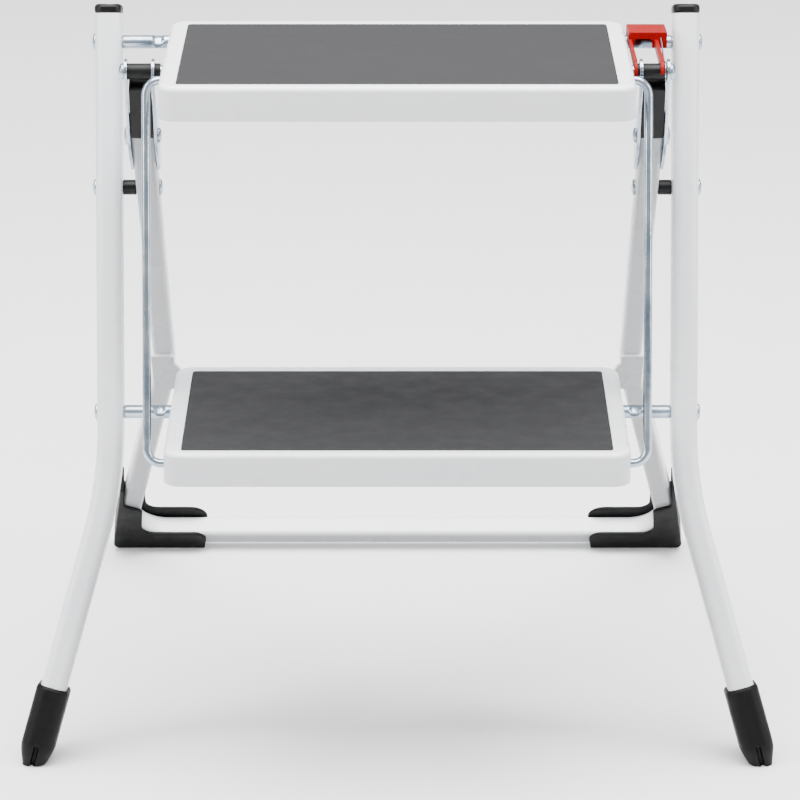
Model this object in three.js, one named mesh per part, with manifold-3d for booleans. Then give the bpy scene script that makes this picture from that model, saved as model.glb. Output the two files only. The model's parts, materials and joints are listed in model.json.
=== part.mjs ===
// A folding two-step stool: a white tube front frame, a white U-shaped rear frame, two trays with
// smooth rubber mats, a pair of wire tie rods that carry the lower step and a red safety catch.
// Millimetres. +X is the stool's left-to-right as seen from the front, +Y points back, +Z is up.
import * as THREE from "three";
import { mergeVertices } from "three/addons/utils/BufferGeometryUtils.js";
import Module from "manifold-3d";

const wasm = await Module();
wasm.setup();

// ---- driving dimensions ----
const GAP = 0.3; // between touching pieces
const RISER = 235; // floor to lower step, lower step to top step
const TRAY = { width: 297, depth: 180, height: 22, wall: 2.2, corner: 12, edge: 3.5 };
const RIB = { depth: 7, thick: 2, apart: 74, across: 34, bite: 1 };
const MAT = { width: 274, depth: 161, thick: 2.2, frontRim: 7, corner: 2.5 };
const TOP_FRONT = -7; // front edge of the top tray
const LOWER_FRONT = -21; // front edge of the lower tray
const PIVOT_DROP = 11; // rods and tie-rod holes below a step's surface

const LEAN = THREE.MathUtils.degToRad(14.8); // front legs, leaning back towards the top
const REAR_LEAN = THREE.MathUtils.degToRad(40.7); // rear legs, leaning forward towards the top
const UPPER_ROD = { y: 157, z: 2 * RISER - PIVOT_DROP };
const LOWER_ROD = onFrontLeg(RISER - PIVOT_DROP);
const PIVOT = onFrontLeg(367); // the scissor pivot of the two frames
const BAR = { y: 69, z: 461 }; // the bar that the top step rests on
const ARM = 103; // from each step's rod forward to its tie-rod hole
const TOP_HOLE = { y: UPPER_ROD.y - ARM, z: UPPER_ROD.z };
const LOWER_HOLE = { y: LOWER_ROD.y - ARM, z: LOWER_ROD.z };

const FOLD = THREE.MathUtils.degToRad(48); // full swing of the rear frame
const STEP_RATIO = 1.95; // each step turns this much for one turn of the rear frame

const LEG = { x: 189, width: 17, depth: 28, corner: 6, above: 18, bendTop: 215, bendRadius: 250 };
const LEG_SPLAY = Math.atan(0.279); // outward splay of the lower leg, in the leg's own plane
const FOOT = { wall: 2.5, length: 50, floor: 13, slot: 3.2, slotLength: 24, slotDepth: 3 };
const CAP = { height: 6, round: 1.5 };
const ROD = { radius: 4.4, neck: 3, head: 5.4, dome: 2.2 };
const CRIMP = { x: 156.5, width: 7, reach: 5.2, half: 1.7, turn: 35 };

const TUBE = { x: 163.6, width: 15, depth: 16, corner: 3.5, above: 68, bendAt: 226, bendRadius: 160 };
const TUBE_SPLAY = Math.atan(0.179);
const CROSS = { drop: 466, corner: 28 }; // cross tube's distance from the pivot, and its bends
// A rear boot's walls in the rear frame's plane, each corner as [across, up, radius], and where
// each wall starts and ends behind the tube's axis.
const BOOT = {
  front: {
    span: [-11, -8],
    corners: [
      [215.3, -476, 6], [204.9, -389, 0.9], [202.6, -387, 0.9], [204.2, -412, 5],
      [190.2, -419, 4], [192.6, -454, 9], [143.4, -454, 9], [146, -476, 2],
    ],
  },
  back: {
    span: [8, 10.7],
    corners: [
      [215.3, -476, 6], [204.9, -389, 0.9], [202.6, -387, 0.9], [204.2, -410, 5],
      [189, -416, 4], [189.5, -449, 9], [142.5, -449, 13], [145, -476, 2],
    ],
  },
  band: {
    span: [-11, 10.7],
    corners: [
      [215.3, -476, 6], [204.9, -389, 0.9], [202.6, -387, 0.9], [203.6, -410, 4],
      [208.6, -441, 12], [198, -473.2, 10], [148, -473.2, 0.5], [147, -476, 0.5],
    ],
  },
};
const PAD = { from: 197, to: 241, width: 16, thick: 2.6, ear: 4.4 };

const PLATE = { thick: 1.8, bar: 8, web: 86, tip: 25 };
const SUPPORT = { radius: 4, sleeve: 5.2, dome: 3.2 };
const SLEEVE = { from: 150.2, to: 173.5 };
const WIRE = { radius: 2.75, x: 159, bend: 9, inside: 143.6 };
const CATCH = { inner: 150.4, outer: 175.2, armInner: 167, armOuter: 169.4, wall: 1.5, plate: 2 };

const ARC_STEP = Math.PI / 10; // the largest turn between two stations of a bend
const CORNER_SEGMENTS = 3; // straight pieces in a section's rounded corner
const ROUND_SIDES = 16;
const DOME_SIDES = 12;
const DOME_RINGS = 3;

const WHITE = finish(0xf3f4f6, 0.35, 0);
const ZINC = finish(0xb9c2cb, 0.35, 0.9);
const BLACK = finish(0x1b1c1e, 0.7, 0);
const RUBBER = finish(0x47474a, 0.85, 0);
const RED = finish(0xe8130f, 0.4, 0);

// ---- helpers ----
function finish(color, roughness, metalness) {
  return () => new THREE.MeshStandardMaterial({ color, roughness, metalness });
}

// The point at height z on the front legs' centre line, in side view.
function onFrontLeg(z) {
  return { y: UPPER_ROD.y + (z - UPPER_ROD.z) * Math.tan(LEAN), z };
}

// A closed three.js geometry as a manifold solid.
function solid(geometry) {
  const bare = geometry.clone();
  bare.deleteAttribute("normal");
  bare.deleteAttribute("uv");
  const merged = mergeVertices(bare, 1e-4);
  const vertProperties = new Float32Array(merged.attributes.position.array);
  const triVerts = new Uint32Array(merged.index.array);
  return new wasm.Manifold(new wasm.Mesh({ numProp: 3, vertProperties, triVerts }));
}

function geometryOf(body) {
  const { vertProperties, triVerts } = body.getMesh();
  const geometry = new THREE.BufferGeometry();
  geometry.setAttribute("position", new THREE.BufferAttribute(vertProperties, 3));
  geometry.setIndex(new THREE.BufferAttribute(triVerts, 1));
  geometry.computeVertexNormals();
  return geometry;
}

function piece(name, body, material) {
  const mesh = new THREE.Mesh(geometryOf(body), material());
  mesh.name = name;
  return mesh;
}

// An outline in side view, (y, z), extruded along X from x0 to x1.
function plate(outline, x0, x1) {
  const across = new THREE.Matrix4().makeBasis(
    new THREE.Vector3(0, 1, 0),
    new THREE.Vector3(0, 0, 1),
    new THREE.Vector3(1, 0, 0),
  );
  const options = { depth: x1 - x0, bevelEnabled: false, curveSegments: 8 };
  const geometry = new THREE.ExtrudeGeometry(outline, options);
  return solid(geometry.applyMatrix4(across).translate(x0, 0, 0));
}

// A round pin along X, at (y, z) in side view.
function pin(radius, x0, x1, at, sides = ROUND_SIDES) {
  const geometry = new THREE.CylinderGeometry(radius, radius, x1 - x0, sides);
  return solid(geometry.rotateZ(Math.PI / 2).translate((x0 + x1) / 2, at.y, at.z));
}

// A domed head on an X axis: its flat face at x, its dome towards `side`.
function dome(radius, height, x, side, at) {
  const profile = [new THREE.Vector2(0, 0)];
  for (let i = 0; i <= DOME_RINGS; i++) {
    const a = (i / DOME_RINGS) * (Math.PI / 2);
    profile.push(new THREE.Vector2(radius * Math.cos(a), 0.6 + (height - 0.6) * Math.sin(a)));
  }
  profile[profile.length - 1].x = 0;
  profile.splice(1, 0, new THREE.Vector2(radius, 0));
  const geometry = new THREE.LatheGeometry(profile, DOME_SIDES).rotateZ(-side * (Math.PI / 2));
  return solid(geometry.translate(x, at.y, at.z));
}

function block(x0, x1, y0, y1, z0, z1) {
  const geometry = new THREE.BoxGeometry(x1 - x0, y1 - y0, z1 - z0);
  return solid(geometry.translate((x0 + x1) / 2, (y0 + y1) / 2, (z0 + z1) / 2));
}

// A rectangle with round corners, centred on (cx, cy).
function roundRect(width, height, radius, cx = 0, cy = 0) {
  const shape = new THREE.Shape();
  const [x, y] = [width / 2 - radius, height / 2 - radius];
  shape.absarc(cx + x, cy + y, radius, 0, Math.PI / 2);
  shape.absarc(cx - x, cy + y, radius, Math.PI / 2, Math.PI);
  shape.absarc(cx - x, cy - y, radius, Math.PI, 1.5 * Math.PI);
  shape.absarc(cx + x, cy - y, radius, 1.5 * Math.PI, 2 * Math.PI);
  return shape;
}

function join(bodies) {
  return bodies.reduce((whole, next) => whole.add(next));
}

function cut(body, tools) {
  return tools.reduce((rest, tool) => rest.subtract(tool), body);
}

// Straight runs between corners, each corner rounded by an arc of its own radius.
function bentPath(points, radii) {
  const path = new THREE.CurvePath();
  let from = points[0];
  for (let i = 1; i < points.length - 1; i++) {
    const corner = points[i];
    const into = corner.clone().sub(points[i - 1]).normalize();
    const out = points[i + 1].clone().sub(corner).normalize();
    const turn = into.angleTo(out);
    const back = radii[i - 1] * Math.tan(turn / 2);
    const start = corner.clone().addScaledVector(into, -back);
    const end = corner.clone().addScaledVector(out, back);
    path.add(new THREE.LineCurve3(from, start));
    path.add(new Arc(start, into, end, out, radii[i - 1], turn));
    from = end;
  }
  path.add(new THREE.LineCurve3(from, points[points.length - 1]));
  return path;
}

// A circular arc that leaves `start` along `into` and reaches `end` along `out`.
class Arc extends THREE.Curve {
  constructor(start, into, end, out, radius, turn) {
    super();
    this.turn = turn;
    this.radius = radius;
    this.into = into;
    const inward = out.clone().addScaledVector(into, -out.dot(into)).normalize();
    this.centre = start.clone().addScaledVector(inward, radius);
    this.outward = inward.negate();
  }
  getPoint(t, target = new THREE.Vector3()) {
    const a = t * this.turn;
    return target
      .copy(this.centre)
      .addScaledVector(this.outward, this.radius * Math.cos(a))
      .addScaledVector(this.into, this.radius * Math.sin(a));
  }
}

// One straight length or one arc becomes stations; the whole tube is a single extrusion.
class Stations extends THREE.Curve {
  constructor(path) {
    super();
    this.points = [];
    for (const curve of path.curves) {
      const steps = curve instanceof Arc ? Math.max(2, Math.ceil(curve.turn / ARC_STEP)) : 1;
      const first = this.points.length ? 1 : 0;
      for (let i = first; i <= steps; i++) this.points.push(curve.getPoint(i / steps));
    }
  }
  getPoint(t, target = new THREE.Vector3()) {
    const at = t * (this.points.length - 1);
    const i = Math.min(Math.floor(at), this.points.length - 2);
    return target.copy(this.points[i]).lerp(this.points[i + 1], at - i);
  }
  getPointAt(u, target) {
    return this.getPoint(u, target);
  }
  getTangentAt(u, target = new THREE.Vector3()) {
    const last = this.points.length - 1;
    const i = Math.round(u * last);
    const [before, after] = [this.points[Math.max(i - 1, 0)], this.points[Math.min(i + 1, last)]];
    const here = this.points[i];
    const one = here.clone().sub(before).normalize();
    const two = after.clone().sub(here).normalize();
    return target.copy(one).add(two).normalize();
  }
}

// A section swept along a bent path. The section's first axis is across the path's plane.
function tube(section, points, radii) {
  const stations = new Stations(bentPath(points, radii));
  const options = {
    steps: stations.points.length - 1,
    extrudePath: stations,
    curveSegments: CORNER_SEGMENTS,
  };
  return solid(new THREE.ExtrudeGeometry(section, options));
}

// ---- the steps ----
function tray(front, surface) {
  const middle = front + TRAY.depth / 2;
  const { edge, wall, corner } = TRAY;
  const bottom = surface - TRAY.height;
  const outline = roundRect(TRAY.width - 2 * edge, TRAY.depth - 2 * edge, corner - edge, 0, middle);
  const shell = new THREE.ExtrudeGeometry(outline, {
    depth: TRAY.height,
    bevelThickness: edge,
    bevelSize: edge,
    bevelSegments: 3,
    curveSegments: 4,
  });
  const inside = roundRect(TRAY.width - 2 * wall, TRAY.depth - 2 * wall, corner - wall, 0, middle);
  const under = surface - MAT.thick - wall;
  const deep = { depth: TRAY.height, bevelEnabled: false, curveSegments: 4 };
  const hollow = new THREE.ExtrudeGeometry(inside, deep);
  const body = cut(solid(shell.translate(0, 0, surface - TRAY.height - edge)), [
    block(-TRAY.width, TRAY.width, front - 10, front + TRAY.depth + 10, bottom - 20, bottom),
    solid(hollow.translate(0, 0, under - TRAY.height)),
    matSolid(front, surface, GAP, 0),
  ]);
  return join([body, ...ribs(front, under)]);
}

// Stiffening ribs under the plate: three from front to back and one across.
function ribs(front, under) {
  const { depth, thick, apart, across, bite } = RIB;
  const [y0, y1] = [front + bite, front + TRAY.depth - bite];
  const [z0, z1] = [under - depth, under + bite / 2];
  const long = [-apart, 0, apart].map((x) => block(x - thick / 2, x + thick / 2, y0, y1, z0, z1));
  const half = TRAY.width / 2 - bite;
  return [...long, block(-half, half, front + across, front + across + thick, z0, z1)];
}

// The mat's slab, or with `clear` the recess that it lies in.
function matSolid(front, surface, clear, lift) {
  const middle = front + MAT.frontRim + MAT.depth / 2;
  const outline = roundRect(MAT.width + 2 * clear, MAT.depth + 2 * clear, MAT.corner, 0, middle);
  const depth = MAT.thick + (clear ? 10 : 0);
  const geometry = new THREE.ExtrudeGeometry(outline, { depth, bevelEnabled: false, curveSegments: 3 });
  return solid(geometry.translate(0, 0, surface - MAT.thick + lift));
}

// Where the bar is in the top step's own frame, when the rear frame has turned by `angle`.
function barInStep(angle) {
  const about = new THREE.Vector2(PIVOT.y, PIVOT.z);
  const rod = new THREE.Vector2(UPPER_ROD.y, UPPER_ROD.z);
  const bar = new THREE.Vector2(BAR.y, BAR.z).rotateAround(about, -angle);
  return bar.rotateAround(rod, angle * STEP_RATIO);
}

// The cut that the bar needs in the side walls: its path through the step, as wide as the bar.
function barSlot() {
  const half = SUPPORT.radius + 2 * GAP;
  const last = 16;
  const stations = Array.from({ length: last + 1 }, (_, i) => barInStep((FOLD * i) / last));
  const outward = stations.map((_, i) => {
    const along = stations[Math.min(i + 1, last)].clone().sub(stations[Math.max(i - 1, 0)]);
    return new THREE.Vector2(along.y, -along.x).normalize().multiplyScalar(half);
  });
  const lower = stations.map((p, i) => p.clone().sub(outward[i]));
  const upper = stations.map((p, i) => p.clone().add(outward[i])).reverse();
  return plate(new THREE.Shape([...lower, ...upper]), -TRAY.width, TRAY.width);
}

// The bar's seat at rest: round on top and open below.
function barSeat() {
  const seat = new THREE.Shape();
  const radius = SUPPORT.radius + GAP;
  seat.absarc(BAR.y, BAR.z, radius, 0, Math.PI);
  seat.lineTo(BAR.y - radius, BAR.z - 30);
  seat.lineTo(BAR.y + radius + 8, BAR.z - 30);
  return plate(seat, -TRAY.width, TRAY.width);
}

function topStep() {
  const surface = 2 * RISER;
  const end = barInStep(FOLD);
  const foldedBar = { y: end.x, z: end.y };
  const body = cut(tray(TOP_FRONT, surface), [
    pin(ROD.radius + GAP, -TRAY.width, TRAY.width, UPPER_ROD),
    pin(WIRE.radius + GAP, -TRAY.width, TRAY.width, TOP_HOLE),
    barSeat(),
    barSlot(),
    pin(SUPPORT.radius + 2 * GAP, -TRAY.width, TRAY.width, foldedBar),
  ]);
  const mat = matSolid(TOP_FRONT, surface, 0, GAP);
  return [piece("top_tray", body, WHITE), piece("top_mat", mat, RUBBER)];
}

function lowerStep() {
  const body = cut(tray(LOWER_FRONT, RISER), [
    pin(ROD.radius + GAP, -TRAY.width, TRAY.width, LOWER_ROD),
    pin(WIRE.radius + 2 * GAP, -TRAY.width, TRAY.width, LOWER_HOLE),
  ]);
  const mat = matSolid(LOWER_FRONT, RISER, 0, GAP);
  return [piece("lower_tray", body, WHITE), piece("lower_mat", mat, RUBBER)];
}

// ---- the front frame ----
// Points of a front leg in its own upright plane: heights are measured along the leg.
function legPoints(top, bottom) {
  const bend = (LEG.bendTop - 35) / Math.cos(LEAN);
  const spread = (bend - bottom) * Math.tan(LEG_SPLAY);
  return [new THREE.Vector3(0, 0, top), new THREE.Vector3(0, 0, bend), new THREE.Vector3(spread, 0, bottom)];
}

// Turns a leg made in its own plane into place: mirrored by side, leaned back and moved out.
function placeLeg(body, side) {
  const foot = onFrontLeg(0);
  const leaned = side < 0 ? body.mirror([1, 0, 0]) : body;
  return leaned.rotate([-THREE.MathUtils.radToDeg(LEAN), 0, 0]).translate([side * LEG.x, foot.y, 0]);
}

const LEG_TOP = (UPPER_ROD.z + LEG.above) / Math.cos(LEAN);

function frontLeg(side) {
  const section = roundRect(LEG.depth, LEG.width, LEG.corner);
  const bar = tube(section, legPoints(LEG_TOP, FOOT.floor + 4), [LEG.bendRadius]);
  const x = [side * LEG.x - LEG.width, side * LEG.x + LEG.width];
  const holes = [UPPER_ROD, LOWER_ROD, PIVOT].map((at) => pin(ROD.neck + GAP, x[0], x[1], at, 12));
  return piece(`front_leg_${sideName(side)}`, cut(placeLeg(bar, side), holes), WHITE);
}

function legCap(side) {
  const [width, depth] = [LEG.width + 0.6, LEG.depth + 0.6];
  const outline = roundRect(width - 2 * CAP.round, depth - 2 * CAP.round, LEG.corner - CAP.round);
  const geometry = new THREE.ExtrudeGeometry(outline, {
    depth: CAP.height - 2 * CAP.round,
    bevelThickness: CAP.round,
    bevelSize: CAP.round,
    bevelSegments: 2,
    curveSegments: 3,
  });
  const body = solid(geometry.translate(0, 0, LEG_TOP + GAP + CAP.round));
  return piece(`leg_cap_${sideName(side)}`, placeLeg(body, side), BLACK);
}

// A rubber boot over the leg's end, slotted at the tip and flat where it stands.
function frontFoot(side) {
  const points = legPoints(LEG_TOP, -12);
  const away = points[1].clone().sub(points[2]).normalize();
  const tip = points[2];
  const top = tip.clone().addScaledVector(away, FOOT.length + 14);
  const { wall } = FOOT;
  const outer = roundRect(LEG.depth + 2 * wall, LEG.width + 2 * wall, LEG.corner + wall);
  const waist = roundRect(LEG.depth + 2 * wall - 8, LEG.width + 2 * wall - 8, LEG.corner);
  const bore = roundRect(LEG.depth + 2 * GAP, LEG.width + 2 * GAP, LEG.corner + GAP);
  const shell = join([
    tube(outer, [top, tip.clone().addScaledVector(away, 22)], []),
    tube(waist, [top, tip.clone().addScaledVector(away, 8)], []),
  ]);
  const socketEnd = tip.clone().addScaledVector(away, 14 + FOOT.floor);
  const socket = tube(bore, [top.clone().addScaledVector(away, 10), socketEnd], []);
  const angle = THREE.MathUtils.radToDeg(LEG_SPLAY);
  const slotted = [-1, 1].map((face) => {
    const [depth, half] = [LEG.depth / 2 + wall, FOOT.slot / 2];
    const slot = block(-half, half, depth - FOOT.slotDepth, depth + 4, -8, FOOT.slotLength);
    const faced = face < 0 ? slot.mirror([0, 1, 0]) : slot;
    return faced.rotate([0, -angle, 0]).translate([tip.x, 0, tip.z + 12]);
  });
  const floor = block(-600, 600, -200, 600, -60, 0);
  const body = cut(placeLeg(cut(shell, [socket, ...slotted]), side), [floor]);
  return piece(`front_foot_${sideName(side)}`, body, BLACK);
}

// A rod between the legs: it steps down through each leg, is headed outside, and is crimped
// beside the tray so that the tray can't slide along it.
function crossRod(name, at) {
  const inner = LEG.x - LEG.width / 2 - GAP;
  const outer = LEG.x + LEG.width / 2 + GAP;
  const bodies = [pin(ROD.radius, -inner, inner, at), pin(ROD.neck, -outer - 0.5, outer + 0.5, at)];
  for (const side of [-1, 1]) {
    bodies.push(dome(ROD.head, ROD.dome, side * outer, side, at));
    const x = side * CRIMP.x;
    const { width, reach, half, turn } = CRIMP;
    const ears = block(x - width / 2, x + width / 2, -reach, reach, -half, half);
    bodies.push(ears.rotate([turn, 0, 0]).translate([0, at.y, at.z]));
  }
  return piece(name, join(bodies), ZINC);
}

// The scissor pivot: a rivet through both frames with a black spacer between them.
function pivotRivet(side) {
  const outer = LEG.x + LEG.width / 2 + GAP;
  const inner = TUBE.x - TUBE.width / 2 - GAP;
  const [x0, x1] = side > 0 ? [inner, outer] : [-outer, -inner];
  const body = join([
    pin(ROD.neck, x0 - 0.5, x1 + 0.5, PIVOT),
    dome(ROD.head, ROD.dome, side * outer, side, PIVOT),
    dome(ROD.head, 1.8, side * inner, -side, PIVOT),
  ]);
  return piece(`pivot_rivet_${sideName(side)}`, body, ZINC);
}

function pivotSpacer(side) {
  const inner = TUBE.x + TUBE.width / 2 + GAP;
  const outer = LEG.x - LEG.width / 2 - GAP;
  const [x0, x1] = side > 0 ? [inner, outer] : [-outer, -inner];
  const body = cut(pin(5, x0, x1, PIVOT), [pin(ROD.neck + GAP, x0 - 1, x1 + 1, PIVOT)]);
  return piece(`pivot_spacer_${sideName(side)}`, body, BLACK);
}

function frontFrame() {
  const pairs = [-1, 1].flatMap((side) => [
    frontLeg(side),
    legCap(side),
    frontFoot(side),
    pivotRivet(side),
    pivotSpacer(side),
  ]);
  return [...pairs, crossRod("upper_rod", UPPER_ROD), crossRod("lower_rod", LOWER_ROD)];
}

// ---- the rear frame ----
// Its own plane: X across, and +Z up along the legs from the scissor pivot.
function placeRear(body) {
  return body.rotate([THREE.MathUtils.radToDeg(REAR_LEAN), 0, 0]).translate([0, PIVOT.y, PIVOT.z]);
}

function rearPoints() {
  const spread = (CROSS.drop - TUBE.bendAt) * Math.tan(TUBE_SPLAY);
  const right = [
    new THREE.Vector3(TUBE.x, 0, TUBE.above),
    new THREE.Vector3(TUBE.x, 0, -TUBE.bendAt),
    new THREE.Vector3(TUBE.x + spread, 0, -CROSS.drop),
  ];
  const left = right.map((p) => new THREE.Vector3(-p.x, 0, p.z));
  return [...right, ...left.reverse()];
}

function rearTube() {
  const section = roundRect(TUBE.depth, TUBE.width, TUBE.corner);
  const radii = [TUBE.bendRadius, CROSS.corner, CROSS.corner, TUBE.bendRadius];
  const body = placeRear(tube(section, rearPoints(), radii));
  const bolt = boltPlace();
  const holes = [PIVOT, bolt].map((at) => pin(ROD.neck + GAP, -TRAY.width, TRAY.width, at, 12));
  return piece("rear_tube", cut(body, holes), WHITE);
}

// A point in the rear frame's side view: `up` the leg from the pivot and `back` from its axis.
function onRear(up, back) {
  return {
    y: PIVOT.y - up * Math.sin(REAR_LEAN) + back * Math.cos(REAR_LEAN),
    z: PIVOT.z + up * Math.cos(REAR_LEAN) + back * Math.sin(REAR_LEAN),
  };
}

function boltPlace() {
  return onRear(60, 0);
}

// The bar in the rear frame's own coordinates.
function barOnRear() {
  const [dy, dz] = [BAR.y - PIVOT.y, BAR.z - PIVOT.z];
  const [s, c] = [Math.sin(REAR_LEAN), Math.cos(REAR_LEAN)];
  return { up: dz * c - dy * s, back: dy * c + dz * s };
}

// The side plate's outline as (back, up): a rounded tip, the width of the leg, a neck that
// leaves room behind it for the upper rod when folded, and a round eye for the bar.
function cheekOutline(shrink = 0) {
  const bar = barOnRear();
  const [half, eye] = [TUBE.depth / 2 + PLATE.thick - shrink, PLATE.bar - shrink];
  const shape = new THREE.Shape();
  shape.absarc(0, PLATE.tip + 5, 5 - shrink, Math.PI, 2 * Math.PI);
  shape.lineTo(half, 52);
  shape.lineTo(half, PLATE.web - 10);
  shape.lineTo(6.6 - shrink, PLATE.web - 2);
  shape.lineTo(6.6 - shrink, PLATE.web + 12);
  shape.absarc(bar.back, bar.up, eye, -Math.PI * 0.3, Math.PI * 0.85);
  shape.lineTo(-half, 70);
  shape.lineTo(-half, 52);
  return shape;
}

function rearPlate(outline, x0, x1) {
  const rotated = plate(outline, x0, x1);
  return placeRear(rotated);
}

// A zinc U-bracket: two cheeks either side of the leg, joined by a web behind it.
function bracket(side) {
  const inside = TUBE.width / 2 + GAP;
  const { thick } = PLATE;
  const [a, b] = [side * TUBE.x - inside, side * TUBE.x + inside];
  const back = TUBE.depth / 2 + GAP;
  const web = new THREE.Shape([
    new THREE.Vector2(back, 50),
    new THREE.Vector2(back + thick - GAP, 50),
    new THREE.Vector2(back + thick - GAP, PLATE.web - 12),
    new THREE.Vector2(back, PLATE.web - 12),
  ]);
  const bolt = boltPlace();
  const body = cut(
    join([
      rearPlate(cheekOutline(), a - thick, a),
      rearPlate(cheekOutline(), b, b + thick),
      rearPlate(web, a - 0.5, b + 0.5),
    ]),
    [
      pin(SUPPORT.sleeve + GAP, a - 9, b + 9, BAR),
      pin(ROD.neck + GAP, a - 9, b + 9, bolt),
      pin(ROD.head + 2 * GAP, a - 9, b + 9, PIVOT),
    ],
  );
  return piece(`bracket_${sideName(side)}`, body, ZINC);
}

// A black block that fills the bracket between the tube's end and the bar.
function barBlock(side) {
  const half = TUBE.width / 2 - GAP;
  const x = side * TUBE.x;
  const whole = rearPlate(cheekOutline(2), x - half, x + half);
  const tubeSide = rearPlate(outlineBox(-30, 30, -50, TUBE.above + GAP), x - 20, x + 20);
  const body = cut(whole, [tubeSide, pin(SUPPORT.sleeve + 0.5, x - 20, x + 20, BAR), aboveBar(x)]);
  return piece(`bar_block_${sideName(side)}`, body, BLACK);
}

function aboveBar(x) {
  const bar = barOnRear();
  return rearPlate(outlineBox(-40, 40, bar.up - 8, bar.up + 30), x - 20, x + 20);
}

function outlineBox(x0, x1, y0, y1) {
  return new THREE.Shape([
    new THREE.Vector2(x0, y0),
    new THREE.Vector2(x1, y0),
    new THREE.Vector2(x1, y1),
    new THREE.Vector2(x0, y1),
  ]);
}

function bracketBolt(side) {
  const bolt = boltPlace();
  const outer = TUBE.x + TUBE.width / 2 + PLATE.thick + 2 * GAP;
  const inner = TUBE.x - TUBE.width / 2 - PLATE.thick - 2 * GAP;
  const [x0, x1] = side > 0 ? [inner, outer] : [-outer, -inner];
  const body = join([
    pin(ROD.neck, x0 - 0.5, x1 + 0.5, bolt),
    dome(6, 2.6, side * outer, side, bolt),
    dome(5, 2, side * inner, -side, bolt),
  ]);
  return piece(`bracket_bolt_${sideName(side)}`, body, ZINC);
}

function supportBar() {
  const end = SLEEVE.to + GAP;
  const body = join([
    pin(SUPPORT.radius, -end - 0.5, end + 0.5, BAR),
    ...[-1, 1].map((side) => dome(SUPPORT.sleeve, SUPPORT.dome, side * end, side, BAR)),
  ]);
  return piece("support_bar", body, ZINC);
}

function barSleeve(side) {
  const [x0, x1] = side > 0 ? [SLEEVE.from, SLEEVE.to] : [-SLEEVE.to, -SLEEVE.from];
  const body = cut(pin(SUPPORT.sleeve, x0, x1, BAR), [pin(SUPPORT.radius + GAP, x0 - 1, x1 + 1, BAR)]);
  return piece(`bar_sleeve_${sideName(side)}`, body, BLACK);
}

// A flat pressed pad on the front of the rear leg, with a rounded ear towards the middle.
function legPad(side) {
  const shape = new THREE.Shape();
  const [half, length] = [PAD.width / 2, PAD.to - PAD.from];
  shape.moveTo(-half, 0);
  shape.lineTo(-half, length);
  shape.lineTo(half, length);
  shape.lineTo(half, 0);
  shape.bezierCurveTo(half, -1, half, -1, half - 1, -1);
  shape.lineTo(-half + 1, -1);
  shape.bezierCurveTo(-half, -1, -half, -1, -half, 0);
  const ear = new THREE.Shape();
  ear.moveTo(-half + 1, 10);
  ear.bezierCurveTo(-half - PAD.ear, 12, -half - PAD.ear, length - 12, -half + 1, length - 10);
  const options = { depth: PAD.thick, bevelEnabled: false, curveSegments: 8 };
  const flat = [shape, ear].map((outline) => solid(new THREE.ExtrudeGeometry(outline, options)));
  const body = join(flat);
  const upright = body.rotate([90, 0, 0]).translate([0, -TUBE.depth / 2 - GAP, -PAD.to]);
  const turned = side < 0 ? upright.mirror([1, 0, 0]) : upright;
  const placed = placeRear(turned.translate([side * (TUBE.x + 0.6), 0, 0]));
  return piece(`leg_pad_${sideName(side)}`, placed, WHITE);
}

// A closed outline from corners [across, up, radius], each rounded.
function roundedShape(corners) {
  const points = corners.map(([x, y]) => new THREE.Vector2(x, y));
  const last = points.length - 1;
  const shape = new THREE.Shape();
  points.forEach((corner, i) => {
    const into = points[i ? i - 1 : last].clone().sub(corner).normalize();
    const out = points[i < last ? i + 1 : 0].clone().sub(corner).normalize();
    const back = corners[i][2] / Math.tan(Math.acos(into.dot(out)) / 2);
    const start = into.multiplyScalar(back).add(corner);
    const end = out.multiplyScalar(back).add(corner);
    if (i) shape.lineTo(start.x, start.y);
    else shape.moveTo(start.x, start.y);
    shape.quadraticCurveTo(corner.x, corner.y, end.x, end.y);
  });
  shape.closePath();
  return shape;
}

// One wall of a rear boot, upright in the rear frame's plane.
function bootWall({ span, corners }) {
  const [from, to] = span;
  const options = { depth: to - from, bevelEnabled: false, curveSegments: 4 };
  const geometry = new THREE.ExtrudeGeometry(roundedShape(corners), options);
  return solid(geometry.rotateX(Math.PI / 2).translate(0, to, 0));
}

// A moulded boot over each bottom corner: an L-shaped wall in front of the tube and one behind
// it, joined by a band outside the leg and under the cross tube, and flat where it stands.
function rearBoot(side) {
  const [width, depth] = [TUBE.width + 2 * GAP, TUBE.depth + 2 * GAP];
  const bore = roundRect(depth, width, TUBE.corner + GAP);
  const core = tube(bore, rearPoints().slice(1, 5), [CROSS.corner, CROSS.corner]);
  const walls = [BOOT.front, BOOT.back, BOOT.band].map(bootWall);
  const shell = cut(join(walls), [core]);
  const placed = placeRear(side < 0 ? shell.mirror([1, 0, 0]) : shell);
  const floor = block(-600, 600, -200, 700, -60, 0);
  return piece(`rear_boot_${sideName(side)}`, cut(placed, [floor]), BLACK);
}

function rearFrame() {
  const pairs = [-1, 1].flatMap((side) => [
    bracket(side),
    barBlock(side),
    bracketBolt(side),
    barSleeve(side),
    legPad(side),
    rearBoot(side),
  ]);
  return [rearTube(), supportBar(), ...pairs];
}

// ---- tie rods and catch ----
function sideName(side) {
  return side < 0 ? "left" : "right";
}

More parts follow.
